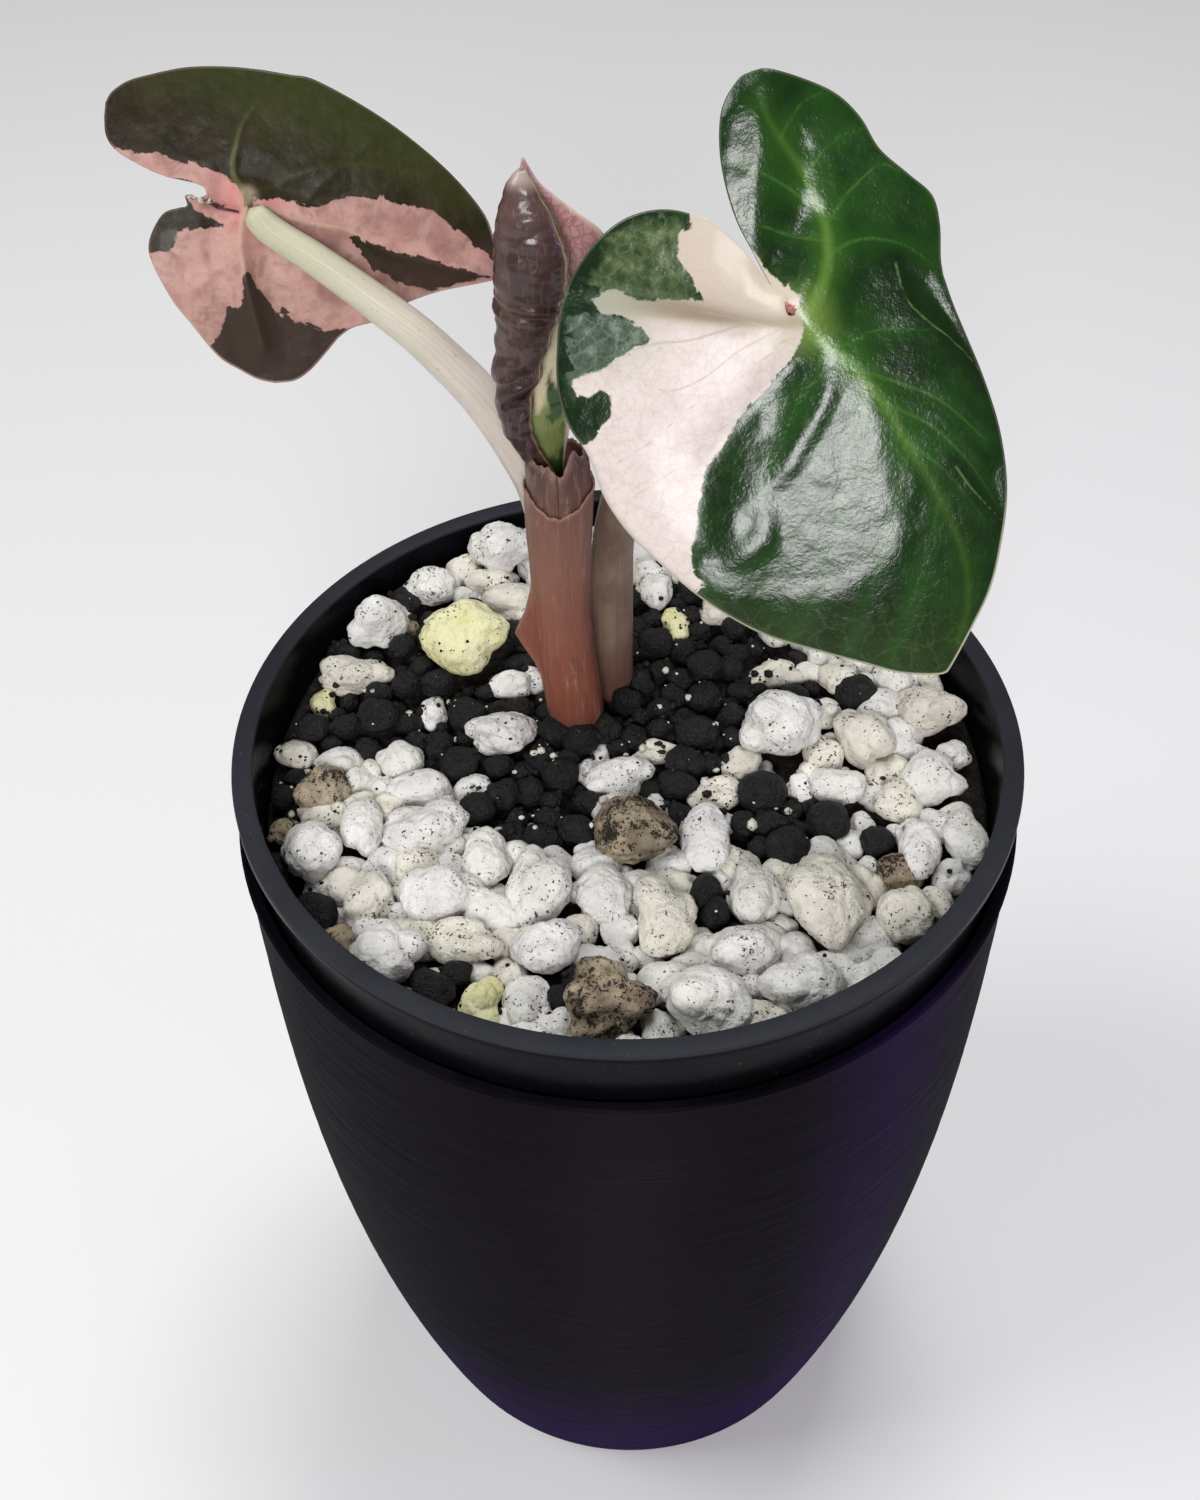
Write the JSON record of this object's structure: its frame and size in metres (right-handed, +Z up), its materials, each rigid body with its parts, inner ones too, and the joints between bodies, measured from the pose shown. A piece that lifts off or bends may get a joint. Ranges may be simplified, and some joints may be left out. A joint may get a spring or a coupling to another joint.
{
  "type": "potted balloon heart alocasia",
  "caption": "Young variegated alocasia with heart-shaped leaves and a rolled new leaf, rooted in a black liner pot inside a tapered cover pot and top-dressed with white mineral lumps.",
  "frame": {"origin": "middle of the cover pot's flat base, on the surface that the pot stands on", "axes": "+Z up along the pots' axis; +X to the right and +Y away as the picture's camera sees the pot, so the large face-on leaf hangs towards -Y and +X and the small leaf seen from below towards -X"},
  "size_m": [0.1071, 0.1008, 0.2146],
  "materials": {
    "cover_plastic": "satin black-violet, printed in fine level layers",
    "liner_plastic": "moulded black plastic, matte lip and glossy collar",
    "potting_mix": "crumbly dark mix",
    "crown_skin": "papery brown skin",
    "sheath_skin": "smooth salmon to reddish brown sheath with brown streaks",
    "pale_stalk": "smooth cream-white stalk, green at its top",
    "dull_stalk": "smooth taupe stalk with fine streaks",
    "young_leaf": "glossy purple-brown new leaf with a pale margin",
    "leaf_underside": "olive-brown underside with salmon-pink sectors",
    "leaf_face": "glossy dark green with cream-pink sectors and light green veins",
    "white_lump": "chalky white, pitted",
    "cream_lump": "chalky cream, pitted",
    "yellow_lump": "chalky pale yellow, pitted",
    "brown_lump": "chalky, stained and speckled with brown",
    "black_granule": "rough black granule"
  },
  "bodies": {
    "root": {"cover_pot": "cover_plastic", "liner_pot": "liner_plastic", "potting_mix": "potting_mix", "crown": "crown_skin", "leaf_sheath": "sheath_skin", "stalk_left": "pale_stalk", "stalk_front": "dull_stalk", "leaf_young": "young_leaf", "leaf_left": "leaf_underside", "leaf_front": "leaf_face", "lump_01": "white_lump", "lump_02": "white_lump", "lump_03": "white_lump", "lump_04": "yellow_lump", "lump_05": "cream_lump", "lump_06": "brown_lump", "lump_07": "white_lump", "lump_08": "white_lump", "lump_09": "white_lump", "lump_10": "white_lump", "lump_11": "white_lump", "lump_12": "white_lump", "lump_13": "cream_lump", "lump_14": "white_lump", "lump_15": "cream_lump", "lump_16": "yellow_lump", "lump_17": "white_lump", "lump_18": "white_lump", "lump_19": "white_lump", "lump_20": "white_lump", "lump_21": "cream_lump", "lump_22": "brown_lump", "lump_23": "white_lump", "lump_24": "brown_lump", "lump_25": "white_lump", "lump_26": "white_lump", "lump_27": "white_lump", "lump_28": "white_lump", "lump_29": "white_lump", "lump_30": "white_lump", "lump_31": "cream_lump", "lump_32": "cream_lump", "lump_33": "white_lump", "lump_34": "white_lump", "lump_35": "white_lump", "lump_36": "cream_lump", "lump_37": "white_lump", "lump_38": "cream_lump", "granule_01": "black_granule", "granule_02": "black_granule", "granule_03": "black_granule", "granule_04": "black_granule", "granule_05": "black_granule", "granule_06": "black_granule", "granule_07": "black_granule", "granule_08": "black_granule"}
  },
  "joints": []
}
